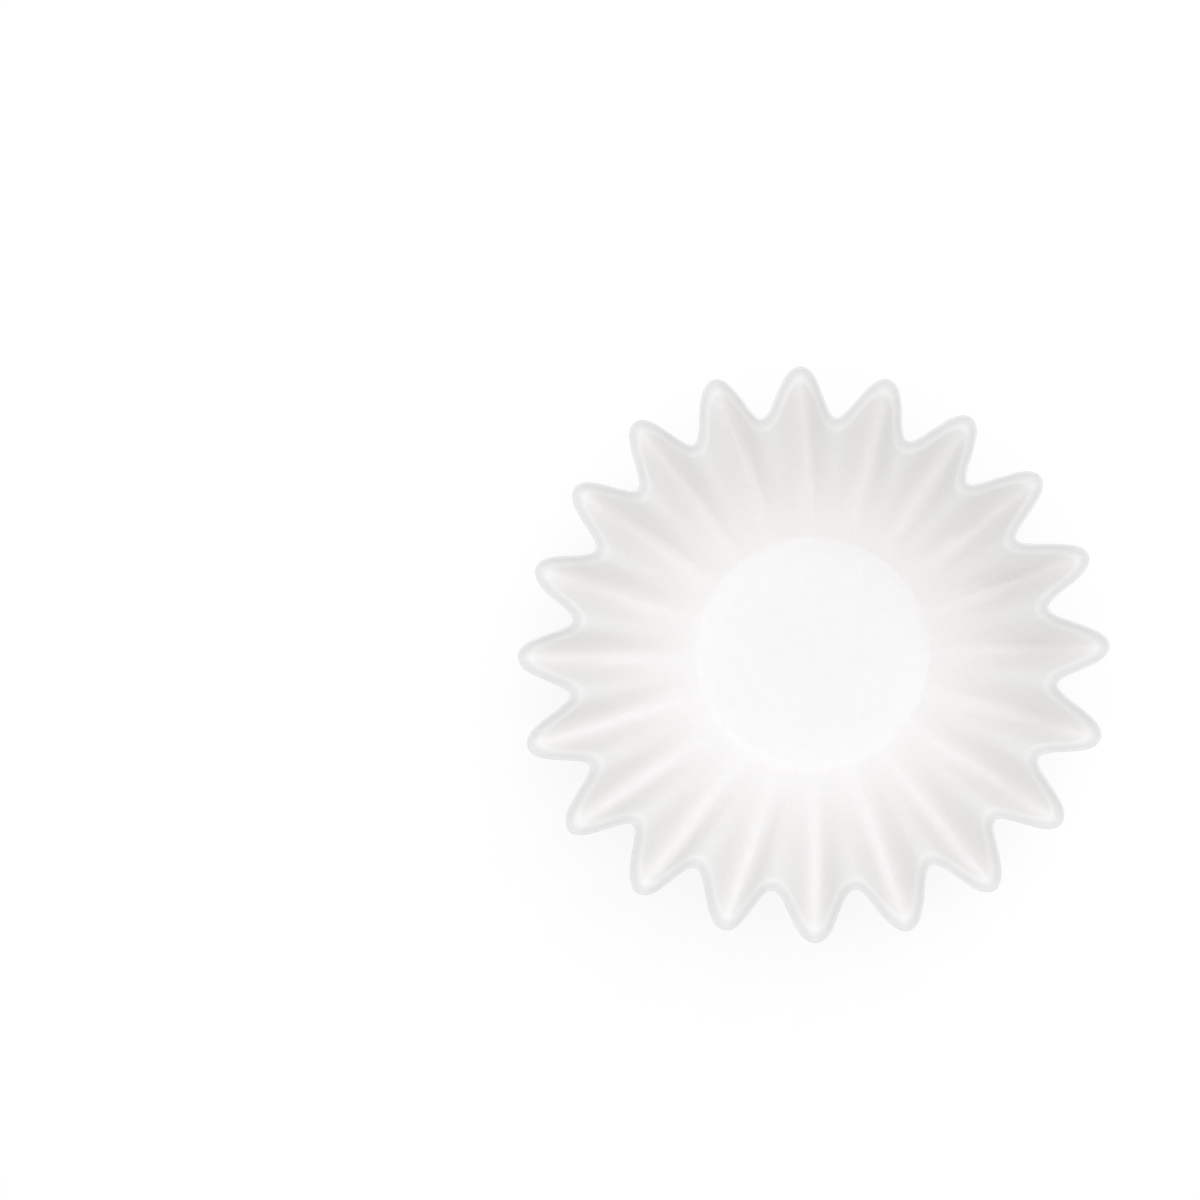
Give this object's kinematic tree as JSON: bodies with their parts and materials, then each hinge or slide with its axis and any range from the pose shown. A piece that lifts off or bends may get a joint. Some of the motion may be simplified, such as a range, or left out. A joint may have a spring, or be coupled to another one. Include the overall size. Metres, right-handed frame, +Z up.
{
  "type": "paper coffee filter",
  "caption": "Flat-bottomed paper coffee filter: a round white sheet pressed into a cup with a deeply fluted, flared wall that holds the ground coffee and lets the brew through.",
  "frame": {"origin": "centre of the base's underside, on the surface that the filter stands on", "axes": "+Z up the filter's axis towards the open mouth; +X passes through the middle of one ridge"},
  "size_m": [0.115, 0.115, 0.055],
  "materials": {
    "paper": "matt bleached filter paper with a fine fibre texture"
  },
  "bodies": {
    "root": {"filter": "paper"}
  },
  "joints": []
}
